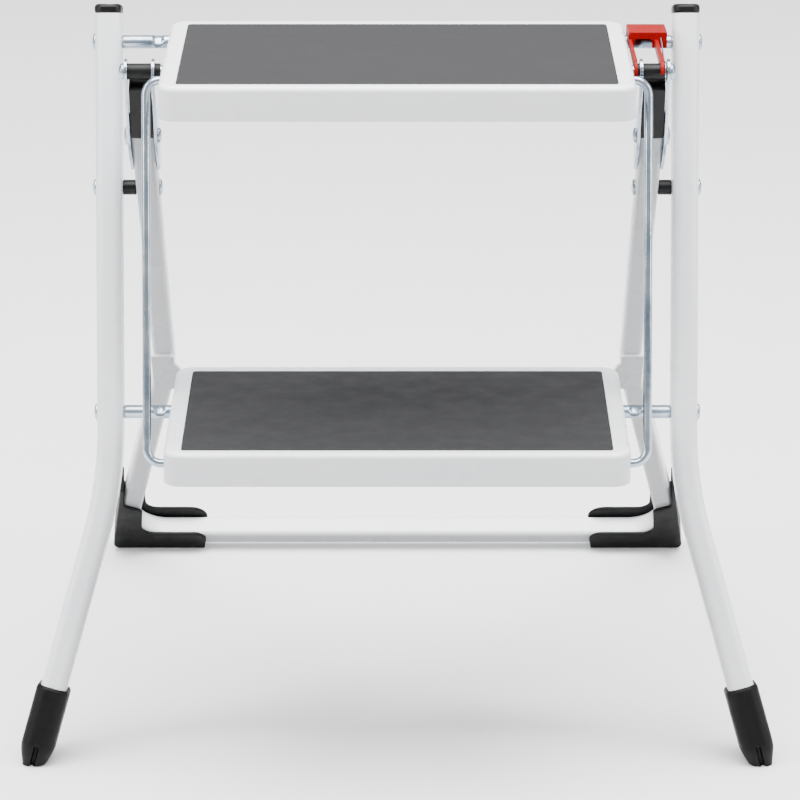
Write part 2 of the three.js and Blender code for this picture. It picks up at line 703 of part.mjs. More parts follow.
// A round wire with both ends bent inwards through the side walls of the two steps.
function tieRod(side) {
  const section = new THREE.Shape().absarc(0, 0, WIRE.radius, 0, 2 * Math.PI);
  const [x, inside] = [side * WIRE.x, side * WIRE.inside];
  const points = [
    new THREE.Vector3(inside, TOP_HOLE.y, TOP_HOLE.z),
    new THREE.Vector3(x, TOP_HOLE.y, TOP_HOLE.z),
    new THREE.Vector3(x, LOWER_HOLE.y, LOWER_HOLE.z),
    new THREE.Vector3(inside, LOWER_HOLE.y, LOWER_HOLE.z),
  ];
  const body = tube(section, points, [WIRE.bend, WIRE.bend]);
  return piece(`tie_rod_${sideName(side)}`, body, ZINC);
}

// The catch's outline in side view from the bar: `along` back towards the upper rod, and `up`.
function catchShape(points) {
  return new THREE.Shape(points.map(([along, up]) => new THREE.Vector2(BAR.y + along, BAR.z + up)));
}

// The catch's pieces in side view, as [along, up] from the bar.
const CATCH_SHAPES = {
  roof: [[62, 8], [62, 10.5], [94, 8.6], [96.4, 7.4], [96.4, -6], [94.2, -6], [94.2, 5.6], [64, 8]],
  front: [[62, 0.2], [62, 10.5], [64.2, 10.4], [64.2, 0.2]],
  cheek: [[62, 0.2], [62, 10.4], [96.2, 7.5], [96.2, 2.8], [80, 2.8], [70, 0.2]],
  arm: [[-3, 5.6], [0, 7.6], [10, 7.2], [58, 5.8], [66, 5.8], [66, 1], [20, 1], [7.6, 0], [5, 0]],
};

// The opening in the catch's front wall, round at its top corners.
function catchWindow() {
  const [x0, x1] = [CATCH.inner + 3.6, CATCH.armInner - 1.4];
  const [bottom, shoulder, top, round] = [-2, 4.4, 6.2, 2];
  const shape = new THREE.Shape();
  shape.moveTo(x0, bottom);
  shape.lineTo(x0, shoulder);
  shape.quadraticCurveTo(x0, top, x0 + round, top);
  shape.lineTo(x1 - round, top);
  shape.quadraticCurveTo(x1, top, x1, shoulder);
  shape.lineTo(x1, bottom);
  const options = { depth: 8, bevelEnabled: false, curveSegments: 4 };
  const opening = new THREE.ExtrudeGeometry(shape, options).rotateX(Math.PI / 2);
  return solid(opening.translate(0, BAR.y + 68, BAR.z));
}

// A red lever that turns on the bar and caps the upper rod, with a hook behind the rod.
function catchLever() {
  const { inner, outer, armInner, armOuter, wall, plate: thick } = CATCH;
  const { roof, front, cheek, arm } = CATCH_SHAPES;
  const eye = SUPPORT.sleeve + GAP;
  const ring = cut(pin(8, inner, inner + thick, BAR), [pin(eye, inner - 1, inner + 4, BAR)]);
  const saddle = cut(pin(7.7, armInner, armOuter, BAR), [
    pin(eye, armInner - 1, armOuter + 1, BAR),
    block(armInner - 1, armOuter + 1, BAR.y - 20, BAR.y + 20, BAR.z - 20, BAR.z),
  ]);
  const arms = [[inner, inner + thick], [armInner, armOuter]];
  const body = join([
    plate(catchShape(roof), inner, outer),
    cut(plate(catchShape(front), inner, outer), [catchWindow()]),
    plate(catchShape(cheek), inner, inner + thick),
    plate(catchShape(cheek), outer - wall, outer),
    ...arms.map(([x0, x1]) => cut(plate(catchShape(arm), x0, x1), [pin(eye, x0 - 1, x1 + 1, BAR)])),
    ring,
    saddle,
  ]);
  const [y, z] = [BAR.y + 68, BAR.z + 9.1];
  const recess = block(inner + 4, outer - 4, y, y + 20, z, z + 11);
  return piece("catch_lever", cut(body, [recess]), RED);
}

// The torsion spring that holds the catch down: a coil beside the right arm, around the sleeve.
function catchSpring() {
  const [x0, x1] = [CATCH.armOuter + GAP, CATCH.armOuter + 1.6];
  const coil = cut(pin(SUPPORT.sleeve + 1.9, x0, x1, BAR), [pin(SUPPORT.sleeve + GAP, x0 - 1, x1 + 1, BAR)]);
  const tail = [[5.4, 1.4], [5.4, 3.2], [52, 8.6], [60, 8.8], [60, 7.2], [52, 7]];
  return piece("catch_spring", coil.add(plate(catchShape(tail), x0, x1)), ZINC);
}

// ---- assembly ----
const stool = new THREE.Group();
stool.add(...frontFrame(), ...rearFrame(), ...topStep(), ...lowerStep());
stool.add(tieRod(-1), tieRod(1), catchLever(), catchSpring());

// The origin is on the floor, in the middle of the outline.
const extent = new THREE.Box3().setFromObject(stool);
stool.position.y = -(extent.min.y + extent.max.y) / 2;

export default stool;
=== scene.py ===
import json
import logging
import math
from dataclasses import dataclass, field
from enum import Enum

import bmesh
import bpy
import numpy as np
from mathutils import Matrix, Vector


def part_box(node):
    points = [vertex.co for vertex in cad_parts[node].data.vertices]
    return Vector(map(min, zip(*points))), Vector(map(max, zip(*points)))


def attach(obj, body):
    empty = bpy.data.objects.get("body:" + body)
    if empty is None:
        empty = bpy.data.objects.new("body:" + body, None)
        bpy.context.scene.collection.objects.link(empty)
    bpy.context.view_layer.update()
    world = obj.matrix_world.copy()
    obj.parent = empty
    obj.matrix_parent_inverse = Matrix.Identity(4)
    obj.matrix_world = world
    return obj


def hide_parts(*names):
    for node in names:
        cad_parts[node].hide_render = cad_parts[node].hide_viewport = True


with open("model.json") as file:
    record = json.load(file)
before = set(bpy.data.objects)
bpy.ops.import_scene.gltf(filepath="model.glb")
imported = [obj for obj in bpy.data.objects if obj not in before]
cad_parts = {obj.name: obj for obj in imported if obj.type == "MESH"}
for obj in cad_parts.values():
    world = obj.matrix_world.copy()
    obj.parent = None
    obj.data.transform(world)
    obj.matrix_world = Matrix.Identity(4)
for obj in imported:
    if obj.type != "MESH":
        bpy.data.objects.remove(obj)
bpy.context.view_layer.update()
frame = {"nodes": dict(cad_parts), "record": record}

MM = 0.001

Array = np.ndarray
Material = bpy.types.Material
Socket = bpy.types.NodeSocket
Pair = tuple[float, float]
Triple = tuple[float, float, float]
Colour = Triple

log = logging.getLogger("step stool")


# ---- surfaces on grids ----
def smoothstep(low: float, high: float, value: Array) -> Array:
    """Rises from 0 at low to 1 at high along 3t^2 - 2t^3.

    Args:
        low: where the rise starts.
        high: where it ends.
        value: the values to map.
    Returns:
        The eased values, same shape.
    """
    t = np.clip((value - low) / (high - low), 0, 1)
    return t * t * (3 - 2 * t)


def rounded_rectangle(width: float, height: float, radius: float, per_corner: int = 6,
                      per_side: int = 1) -> Array:
    """The outline of a rectangle with round corners, anticlockwise about the origin.

    Each corner is its centre plus radius times (cos a, sin a) over a quarter turn, and the
    straight side after it is the even division of the gap to the next corner.

    Args:
        width: size along the first axis.
        height: size along the second axis.
        radius: the corners' radius.
        per_corner: steps in a corner.
        per_side: steps in a straight side.
    Returns:
        Points, shape (n, 2).
    """
    quarter = np.linspace(0, math.pi / 2, per_corner + 1)
    angle = quarter[None, :] + np.arange(4)[:, None] * math.pi / 2
    signs = np.array([[1, 1], [-1, 1], [-1, -1], [1, -1]], float)
    centre = signs * (width / 2 - radius, height / 2 - radius)
    arcs = centre[:, None, :] + radius * np.stack([np.cos(angle), np.sin(angle)], -1)
    share = (np.arange(1, per_side) / per_side)[None, :, None]
    leave, arrive = arcs[:, -1:, :], np.roll(arcs, -1, axis=0)[:, :1, :]
    sides = leave + (arrive - leave) * share
    return np.concatenate([arcs, sides], axis=1).reshape(-1, 2)


def circle(radius: float, sides: int = 28) -> Array:
    """Points of a circle: radius times (cos a, sin a).

    Args:
        radius: the circle's radius.
        sides: number of points.
    Returns:
        Points, shape (sides, 2).
    """
    a = np.linspace(0, 2 * math.pi, sides, endpoint=False)
    return radius * np.stack([np.cos(a), np.sin(a)], -1)


def rounded_polygon(corners: list[Triple], per_corner: int = 8) -> Array:
    """A polygon with an arc of its own radius at each corner.

    At a corner with unit directions a and b to its neighbours, the arc's centre lies along
    a + b, and the arc runs between the feet of the centre on the two sides.

    Args:
        corners: (x, y, radius) of each corner, in order, in millimetres.
        per_corner: steps in a corner.
    Returns:
        Points in metres, shape (n, 2).
    """
    data = np.array(corners, float) * MM
    at, radius = data[:, :2], data[:, 2:]
    back, ahead = np.roll(at, 1, axis=0) - at, np.roll(at, -1, axis=0) - at
    back /= np.linalg.norm(back, axis=1, keepdims=True)
    ahead /= np.linalg.norm(ahead, axis=1, keepdims=True)
    cosine = np.clip((back * ahead).sum(1, keepdims=True), -1, 1)
    half = np.arccos(cosine) / 2
    middle = back + ahead
    middle /= np.linalg.norm(middle, axis=1, keepdims=True)
    centre = at + middle * radius / np.sin(half)
    foot = at + back * radius / np.tan(half)
    start = (foot - centre)[:, None]
    side = np.sign(back[:, 0] * ahead[:, 1] - back[:, 1] * ahead[:, 0])[:, None]
    swing = (math.pi - 2 * half) * -side * np.linspace(0, 1, per_corner + 1)[None, :]
    c, s = np.cos(swing)[..., None], np.sin(swing)[..., None]
    spun = np.concatenate([start[..., :1] * c - start[..., 1:] * s,
                           start[..., :1] * s + start[..., 1:] * c], -1)
    return (centre[:, None] + spun).reshape(-1, 2)


def inset(outline: Array, distance: float) -> Array:
    """The outline moved inwards: each point steps along the normal to its neighbours' chord.

    Args:
        outline: anticlockwise points, shape (n, 2).
        distance: how far in.
    Returns:
        Points, same shape.
    """
    chord = np.roll(outline, -1, axis=0) - np.roll(outline, 1, axis=0)
    chord /= np.linalg.norm(chord, axis=1, keepdims=True)
    return outline - distance * np.stack([chord[:, 1], -chord[:, 0]], -1)


@dataclass
class Path:
    """A bent line with a frame at each station: along it, and across the plane that it lies in."""

    points: Array
    tangents: Array
    across: Array

    @classmethod
    def bent(cls, corners: Array, radii: list[float], across: Triple,
             turn_step: float = math.radians(3), run_step: float = 0.02) -> "Path":
        """Straight runs joined by arcs.

        An arc's station at angle a is its centre, plus radius times cos a outwards, plus radius
        times sin a along the run that enters it. Runs are divided evenly.

        Args:
            corners: the corner points, ends included, shape (n, 3).
            radii: the bend radius at each inner corner.
            across: unit normal of the plane that holds the path.
            turn_step: largest angle between stations of an arc.
            run_step: largest distance between stations of a run.
        Returns:
            The path.
        """
        corners = np.asarray(corners, float)
        runs = np.diff(corners, axis=0)
        direction = runs / np.linalg.norm(runs, axis=1, keepdims=True)
        points, tangents, start = [], [], corners[0]
        for i, radius in enumerate([*radii, 0.0]):
            last = i == len(radii)
            into, out = direction[i], direction[i if last else i + 1]
            turn = 0.0 if last else math.acos(float(np.clip(into @ out, -1, 1)))
            end = corners[i + 1] - into * radius * math.tan(turn / 2)
            steps = max(1, math.ceil(float(np.linalg.norm(end - start)) / run_step))
            t = np.linspace(0, 1, steps + 1)[:, None]
            points.append(start + (end - start) * t)
            tangents.append(np.repeat(into[None], steps + 1, axis=0))
            if last:
                break
            inward = out - into * (out @ into)
            inward /= np.linalg.norm(inward)
            a = np.linspace(0, turn, max(2, math.ceil(turn / turn_step)) + 1)[1:-1, None]
            centre = end + inward * radius
            points.append(centre + radius * (np.sin(a) * into - np.cos(a) * inward))
            tangents.append(np.cos(a) * into + np.sin(a) * inward)
            start = corners[i + 1] + out * radius * math.tan(turn / 2)
        return cls(np.concatenate(points), np.concatenate(tangents), np.array(across, float))

    def lengths(self) -> Array:
        """Distance of each station from the start of the path."""
        steps = np.linalg.norm(np.diff(self.points, axis=0), axis=1)
        return np.concatenate([[0], np.cumsum(steps)])

    def rings(self, section: Array) -> Array:
        """Carries a section along the path.

        Station plus section's first coordinate across, plus its second along tangent x across.

        Args:
            section: points (n, 2), or one set for each station (m, n, 2).
        Returns:
            A grid of points, shape (m, n, 3).
        """
        section = np.broadcast_to(section, (len(self.points),) + section.shape[-2:])
        upward = np.cross(self.tangents, self.across)
        return (self.points[:, None] + section[..., :1] * self.across
                + section[..., 1:] * upward[:, None])


def turned(profile: Array, axis_at: Vector, sides: int = 40) -> Array:
    """A surface turned about a line parallel to X: (x, y0 + r cos a, z0 + r sin a).

    Args:
        profile: (x, r) stations, shape (m, 2).
        axis_at: a point on the line.
        sides: points round.
    Returns:
        A grid of points, shape (m, sides, 3).
    """
    a = np.linspace(0, 2 * math.pi, sides, endpoint=False)[None, :]
    x, r = profile[:, :1], profile[:, 1:]
    return np.stack([x + 0 * a, axis_at.y + r * np.cos(a), axis_at.z + r * np.sin(a)], -1)


def dome_profile(base: float, radius: float, height: float, side: int, steps: int = 10,
                 dimple: float = 0.0) -> Array:
    """A rivet head's (x, r) profile from its rim to its middle.

    A short upright rim, then a quarter ellipse, less a small round dimple in the middle.

    Args:
        base: x of the flat face.
        radius: the head's radius.
        height: the head's height.
        side: +1 for a head that faces +X, -1 for -X.
        steps: stations on the ellipse.
        dimple: depth of the dimple.
    Returns:
        Stations, shape (m, 2).
    """
    a = np.linspace(0, math.pi / 2, steps)
    rim = 0.22 * height
    r = radius * np.cos(a)
    up = rim + (height - rim) * np.sin(a) - dimple * (1 - smoothstep(0, 0.38 * radius, r))
    r[-1] = 0
    return np.column_stack([base + side * np.concatenate([[0], up]), np.concatenate([[radius], r])])


# ---- meshes ----
class Ends(Enum):
    """How a grid's first and last rings are finished."""

    CAPPED = "capped"
    LOOPED = "looped"


def grid_faces(rows: int, columns: int, looped: bool) -> Array:
    """Quads of a grid that is closed along its columns.

    Args:
        rows: number of rings.
        columns: points in a ring.
        looped: whether the last ring joins the first.
    Returns:
        Indices, shape (n, 4).
    """
    index = np.arange(rows * columns).reshape(rows, columns)
    here = index if looped else index[:-1]
    ahead = np.roll(index, -1, axis=0) if looped else index[1:]
    return np.stack([here, np.roll(here, -1, axis=1), np.roll(ahead, -1, axis=1), ahead],
                    -1).reshape(-1, 4)


class Slot(Enum):
    """The record's material slots."""

    PAINT = "white_paint"
    ZINC = "zinc"
    PLASTIC = "black_plastic"
    RUBBER = "black_rubber"
    MAT = "mat_rubber"
    RED = "red_plastic"


@dataclass
class Piece:
    """One finished piece: its mesh, what it rides on and the CAD nodes that it stands for."""

    name: str
    body: str
    slot: Slot
    stands_for: tuple[str, ...]
    material: Material
    sharp: float = math.radians(40)

    def from_grids(self, *grids: Array, ends: Ends = Ends.CAPPED) -> bpy.types.Object:
        """Makes the piece from one or more grids of points.

        Args:
            *grids: each of shape (m, n, 3).
            ends: how each grid's first and last rings are finished.
        Returns:
            The object.
        """
        points, faces, first = [], [], 0
        for rings in grids:
            rows, columns = rings.shape[:2]
            faces += (grid_faces(rows, columns, ends is Ends.LOOPED) + first).tolist()
            if ends is Ends.CAPPED:
                top = first + (rows - 1) * columns
                faces += [list(range(first, first + columns))[::-1],
                          list(range(top, top + columns))]
            points.append(rings.reshape(-1, 3))
            first += rows * columns
        return self.from_data(np.concatenate(points), faces)

    def from_node(self, node: str) -> bpy.types.Object:
        """Makes the piece from a CAD node: equal corners merged and flat faces made whole.

        Args:
            node: the CAD node.
        Returns:
            The object.
        """
        source = frame["nodes"][node].data
        points = np.empty(len(source.vertices) * 3)
        source.vertices.foreach_get("co", points)
        corners = np.empty(len(source.loops), int)
        source.loops.foreach_get("vertex_index", corners)
        unique, index = np.unique(np.round(points.reshape(-1, 3), 7), axis=0, return_inverse=True)
        faces = index.reshape(-1)[corners].reshape(-1, 3)
        return self.from_data(unique, faces.tolist(), flat=math.radians(0.6))

    def from_data(self, points: Array, faces: list[list[int]],
                  flat: float = 0.0) -> bpy.types.Object:
        """Puts points and faces in a mesh, closes its poles, shades it and places it.

        Args:
            points: shape (n, 3).
            faces: corner indices.
            flat: faces that meet at less than this angle are made one.
        Returns:
            The object.
        """
        mesh = bpy.data.meshes.new(self.name)
        mesh.from_pydata(np.asarray(points, float).tolist(), [], faces)
        work = bmesh.new()
        work.from_mesh(mesh)
        bmesh.ops.remove_doubles(work, verts=work.verts, dist=2e-6)
        if flat:
            bmesh.ops.dissolve_limit(work, angle_limit=flat, verts=work.verts, edges=work.edges)
        bmesh.ops.recalc_face_normals(work, faces=work.faces)
        work.to_mesh(mesh)
        work.free()
        mesh.shade_smooth()
        mesh.set_sharp_from_angle(angle=self.sharp)
        mesh.materials.append(self.material)
        piece = bpy.data.objects.new(self.name, mesh)
        bpy.context.scene.collection.objects.link(piece)
        self.finish(piece)
        return piece

    def finish(self, piece: bpy.types.Object) -> None:
        """Evens the shading and hangs the piece on its body.

        Args:
            piece: the object.
        """
        shading = piece.modifiers.new("even shading", "WEIGHTED_NORMAL")
        shading.keep_sharp = True
        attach(piece, self.body)
        if self.stands_for:
            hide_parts(*self.stands_for)
        log.info("%s: %d faces, rides on %s", self.name, len(piece.data.polygons), self.body)


# ---- finishes ----
class Graph:
    """Writes a material's nodes around its Principled shader."""

    def __init__(self, name: str) -> None:
        """Starts a material.

        Args:
            name: the material's name.
        """
        self.material = bpy.data.materials.new(name)
        self.material.use_nodes = True
        self.tree = self.material.node_tree
        self.shader = self.tree.nodes["Principled BSDF"]
        self.place = self.tree.nodes.new("ShaderNodeTexCoord").outputs["Object"]

    def node(self, kind: str, **settings: object) -> bpy.types.Node:
        """Adds a node and sets its properties.

        Args:
            kind: the node's type name.
            **settings: property values.
        Returns:
            The node.
        """
        made = self.tree.nodes.new(kind)
        for key, value in settings.items():
            setattr(made, key, value)
        return made

    def link(self, source: Socket, target: Socket) -> None:
        """Joins two sockets."""
        self.tree.links.new(source, target)

    def noise(self, scale: float, detail: float = 3, rough: float = 0.5,
              stretch: Triple = (1, 1, 1)) -> Socket:
        """Noise in the piece's own space.

        Args:
            scale: patches per metre.
            detail: octaves.
            rough: strength of the finer octaves.
            stretch: scale along each axis; a small value draws the noise out along it.
        Returns:
            The noise value's socket.
        """
        mapping = self.node("ShaderNodeMapping")
        mapping.inputs["Scale"].default_value = stretch
        self.link(self.place, mapping.inputs["Vector"])
        texture = self.node("ShaderNodeTexNoise")
        texture.inputs["Scale"].default_value = scale
        texture.inputs["Detail"].default_value = detail
        texture.inputs["Roughness"].default_value = rough
        self.link(mapping.outputs["Vector"], texture.inputs["Vector"])
        return texture.outputs["Fac"]

    def specks(self, scale: float) -> Socket:
        """Distance to the nearest of many scattered points: a pebbled grain."""
        texture = self.node("ShaderNodeTexVoronoi")
        texture.inputs["Scale"].default_value = scale
        self.link(self.place, texture.inputs["Vector"])
        return texture.outputs["Distance"]

    def edges(self, radius: float) -> Socket:
        """How far the surface bends within a radius: about 1 along edges and 0 on flats.

        It is 1 minus the dot product of the rounded normal and the true normal, scaled up.

        Args:
            radius: how wide the band along an edge is.
        Returns:
            The mask's socket.
        """
        rounded = self.node("ShaderNodeBevel", samples=4)
        rounded.inputs["Radius"].default_value = radius
        true = self.node("ShaderNodeNewGeometry")
        dot = self.node("ShaderNodeVectorMath", operation="DOT_PRODUCT")
        self.link(rounded.outputs["Normal"], dot.inputs[0])
        self.link(true.outputs["Normal"], dot.inputs[1])
        return self.spread(dot.outputs["Value"], (1.0, 0.86), (0.0, 1.0))

    def spread(self, value: Socket, source: Pair,
               target: Pair) -> Socket:
        """Maps a range of values to another, held at its ends.

        Args:
            value: the value's socket.
            source: the values that give the target's ends.
            target: the range to reach.
        Returns:
            The mapped value's socket.
        """
        ranged = self.node("ShaderNodeMapRange", clamp=True)
        for key, number in zip(("From Min", "From Max", "To Min", "To Max"), (*source, *target)):
            ranged.inputs[key].default_value = number
        self.link(value, ranged.inputs["Value"])
        return ranged.outputs["Result"]

    def blend(self, share: Socket, first: object, second: object) -> Socket:
        """Mixes two colours.

        Args:
            share: how much of the second.
            first: a colour or a colour socket.
            second: a colour or a colour socket.
        Returns:
            The mixed colour's socket.
        """
        mix = self.node("ShaderNodeMix", data_type="RGBA")
        self.link(share, mix.inputs["Factor"])
        for name, value in (("A_Color", first), ("B_Color", second)):
            socket = next(s for s in mix.inputs if s.identifier == name)
            if isinstance(value, Socket):
                self.link(value, socket)
            else:
                socket.default_value = (*value, 1.0)
        return next(s for s in mix.outputs if s.identifier == "Result_Color")

    def bump(self, height: Socket, strength: float, depth: float,
             under: Socket | None = None) -> Socket:
        """Turns heights into a normal.

        Args:
            height: the height's socket.
            strength: share of the effect.
            depth: the height of 1, in metres.
            under: a normal to add to.
        Returns:
            The normal's socket.
        """
        made = self.node("ShaderNodeBump")
        made.inputs["Strength"].default_value = strength
        made.inputs["Distance"].default_value = depth
        self.link(height, made.inputs["Height"])
        if under is not None:
            self.link(under, made.inputs["Normal"])
        return made.outputs["Normal"]

    def rounded_normal(self, radius: float) -> Socket:
        """The surface normal with edges rounded off by a radius."""
        rounded = self.node("ShaderNodeBevel", samples=4)
        rounded.inputs["Radius"].default_value = radius
        return rounded.outputs["Normal"]

    def wear(self, **sockets: Socket) -> None:
        """Links sockets to the shader by name, with underscores for spaces."""
        for key, value in sockets.items():
            self.link(value, self.shader.inputs[key.replace("_", " ")])

    def hold(self, **values: float) -> None:
        """Sets constants on the shader's own sockets, with underscores for spaces."""
        for key, value in values.items():
            self.shader.inputs[key.replace("_", " ")].default_value = value



@dataclass(frozen=True)
class PowderCoat:
    """Baked white powder paint: a faint orange peel, a soft gloss and a slight blue-grey painted
    shade along edges and creases.
    """

    colour: Colour = (0.9, 0.912, 0.935)
    shade: Colour = (0.84, 0.858, 0.89)
    gloss: Pair = (0.24, 0.36)

    def material(self) -> Material:
        """The paint's material."""
        g = Graph("white powder coat")
        drift = g.spread(g.noise(7, 4), (0.35, 0.7), (0.0, 0.55))
        body = g.blend(drift, self.colour, self.shade)
        # painted shade: edges and creases are tinted blue-grey to stand in for the shade that falls
        # on them
        painted_edge_shading = g.spread(g.edges(0.9 * MM), (0.25, 1.0), (0.0, 0.22))
        tone = g.blend(painted_edge_shading, body, (0.7, 0.725, 0.77))
        peel = g.noise(620, 2, 0.55)
        fine = g.bump(g.noise(2600, 1), 0.12, 0.00004, g.rounded_normal(0.35 * MM))
        g.wear(Base_Color=tone, Roughness=g.spread(g.noise(38, 4), (0.3, 0.7), self.gloss),
               Normal=g.bump(peel, 0.16, 0.00018, fine))
        g.hold(Coat_Weight=0.22, Coat_Roughness=0.12, IOR=1.5)
        return g.material


@dataclass(frozen=True)
class BrightZinc:
    """Blue-white zinc plate with drawn streaks, cloudy passivation and a pale painted highlight
    along its edges.
    """

    streak: Triple = (1, 1, 1)
    bright: Colour = (0.47, 0.54, 0.6)
    dull: Colour = (0.2, 0.26, 0.33)
    gloss: Pair = (0.17, 0.36)

    def material(self) -> Material:
        """The plate's material."""
        g = Graph("bright zinc")
        cloud = g.spread(g.noise(46, 5, 0.6), (0.32, 0.7), (0.0, 1.0))
        tint = g.blend(cloud, self.bright, self.dull)
        # painted highlight: edges and creases are tinted near white to stand in for light glinting
        # on them
        shine = g.spread(g.edges(0.7 * MM), (0.2, 1.0), (0.0, 0.6))
        streaks = g.noise(900, 3, 0.6, self.streak)
        rough = g.spread(g.noise(130, 4, 0.65, self.streak), (0.3, 0.72), self.gloss)
        g.wear(Base_Color=g.blend(shine, tint, (0.86, 0.88, 0.9)), Roughness=rough,
               Normal=g.bump(streaks, 0.22, 0.00012, g.rounded_normal(0.3 * MM)))
        g.hold(Metallic=1.0)
        return g.material


@dataclass(frozen=True)
class Moulded:
    """Moulded plastic or rubber: pebbled grain, dusty clouding and a paler painted highlight along
    edges.
    """

    name: str
    colour: Colour
    dust: Colour
    painted_edge_highlight: Colour
    gloss: Pair
    grain: float = 1500
    grain_depth: float = 0.00008
    edge: float = 1.0
    coat: float = 0.0
    shine: float = 0.5

    def material(self) -> Material:
        """The moulding's material."""
        g = Graph(self.name)
        clouds = g.spread(g.noise(24, 5, 0.6), (0.36, 0.75), (0.0, 0.6))
        tone = g.blend(clouds, self.colour, self.dust)
        # painted highlight: edges and creases are tinted paler to stand in for light caught on them
        painted_edge_shading = g.spread(g.edges(self.edge * MM), (0.2, 1.0), (0.0, 0.7))
        rough = g.spread(g.noise(90, 4), (0.3, 0.7), self.gloss)
        pebbles = g.bump(g.specks(self.grain), 0.3, self.grain_depth, g.rounded_normal(0.45 * MM))
        g.wear(Base_Color=g.blend(painted_edge_shading, tone, self.painted_edge_highlight), Roughness=rough,
               Normal=g.bump(g.noise(300, 3), 0.1, 0.0001, pebbles))
        g.hold(Coat_Weight=self.coat, Coat_Roughness=0.2, IOR=1.5, Specular_IOR_Level=self.shine)
        return g.material


@dataclass(frozen=True)
class MatRubber:
    """Charcoal mat rubber: a very fine leathery grain, scuffed lighter in broad soft patches."""

    colour: Colour = (0.0175, 0.0175, 0.0188)
    scuffed: Colour = (0.0225, 0.0225, 0.024)
    gloss: Pair = (0.5, 0.66)

    def material(self) -> Material:
        """The mat's material."""
        g = Graph("mat rubber")
        patches = g.spread(g.noise(8, 6, 0.62), (0.35, 0.72), (0.0, 0.45))
        tone = g.blend(patches, self.colour, self.scuffed)
        flecks = g.spread(g.noise(2400, 2), (0.56, 0.78), (0.0, 0.35))
        speckled = g.blend(flecks, tone, (0.036, 0.036, 0.0385))
        pebbles = g.bump(g.specks(1250), 0.4, 0.00012, g.rounded_normal(0.5 * MM))
        g.wear(Base_Color=speckled, Roughness=g.spread(g.noise(60, 5), (0.3, 0.7), self.gloss),
               Normal=g.bump(g.noise(520, 4, 0.6), 0.25, 0.00012, pebbles))
        g.hold(IOR=1.45, Specular_IOR_Level=0.3)
        return g.material


@dataclass
class Finishes:
    """Every finish of the stool, made once."""

    paint: Material = field(default_factory=lambda: PowderCoat().material())
    zinc_across: Material = field(
        default_factory=lambda: BrightZinc(streak=(0.08, 1, 1)).material())
    zinc_upright: Material = field(
        default_factory=lambda: BrightZinc(streak=(1, 0.4, 0.08), gloss=(0.12, 0.28)).material())
    # Each moulding's third colour is the paler painted highlight along its edges.
    plastic: Material = field(default_factory=lambda: Moulded(
        "black moulded plastic", (0.0016, 0.0016, 0.0018), (0.0028, 0.0028, 0.0031),
        (0.008, 0.008, 0.0085), (0.36, 0.5), shine=0.2).material())
    rubber: Material = field(default_factory=lambda: Moulded(
        "black boot rubber", (0.0014, 0.0014, 0.0016), (0.0027, 0.0027, 0.003),
        (0.007, 0.007, 0.0075), (0.45, 0.62), grain=1100, grain_depth=0.00012,
        edge=1.6, shine=0.13).material())
    mat: Material = field(default_factory=lambda: MatRubber().material())
    red: Material = field(default_factory=lambda: Moulded(
        "red moulded plastic", (0.21, 0.0, 0.0001), (0.18, 0.0, 0.0001), (0.3, 0.0006, 0.0006),
        (0.34, 0.46), grain=1700, grain_depth=0.00004, edge=0.8, shine=0.1).material())


# ---- layout ----
@dataclass
class Layout:
    """Where the stool's axes are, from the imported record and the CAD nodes."""

    upper_rod: Vector
    lower_rod: Vector
    pivot: Vector
    bar: Vector
    top_hole: Vector
    lower_hole: Vector

    @classmethod
    def of_frame(cls) -> "Layout":
        """Reads the joints' places and the tie rod's lower end."""
        at = {j["name"]: Vector(j["pos_m"]) for j in frame["record"]["behaviour"]["joints"]}
        low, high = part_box("tie_rod_left")
        hole = at["left_tie_turn"]
        wire = high.z - hole.z
        lower = Vector((0, low.y + wire, low.z + wire))
        return cls(at["top_step_turn"], at["lower_step_turn"], at["fold"], at["catch_turn"],
                   hole, lower)


def leaned(points: Array, angle: float, origin: Triple) -> Array:
    """Turns points about X, then moves them: y cos - z sin, y sin + z cos.

    Args:
        points: shape (..., 3).
        angle: the turn in radians.
        origin: where the old origin goes.
    Returns:
        Points, same shape.
    """
    c, s = math.cos(angle), math.sin(angle)
    turn = np.array([[1, 0, 0], [0, c, -s], [0, s, c]])
    return points @ turn.T + np.array(origin)


def side_name(side: int) -> str:
    """The name of a side: left is -X."""
    return "left" if side < 0 else "right"


# ---- front frame ----
@dataclass
class TubeFrame:
    """What the two frames share: where things are, their finishes and the body they ride on."""

    layout: Layout
    finishes: Finishes
    body: str = ""
    gap: float = 0.3 * MM

    def piece(self, name: str, slot: Slot, material: Material, node: str, side: int = 0,
              sharp: float = math.radians(40)) -> Piece:
        """A piece of this frame that stands for a CAD node.

        Args:
            name: its name, without its side.
            slot: its material slot.
            material: its material.
            node: the CAD node's name, without its side.
            side: +1 or -1 to end both names with right or left.
            sharp: angle over which an edge is shaded sharp.
        Returns:
            The piece, without a mesh yet.
        """
        end = f"_{side_name(side)}" if side else ""
        return Piece(name + end, self.body, slot, (node + end,), material, sharp)


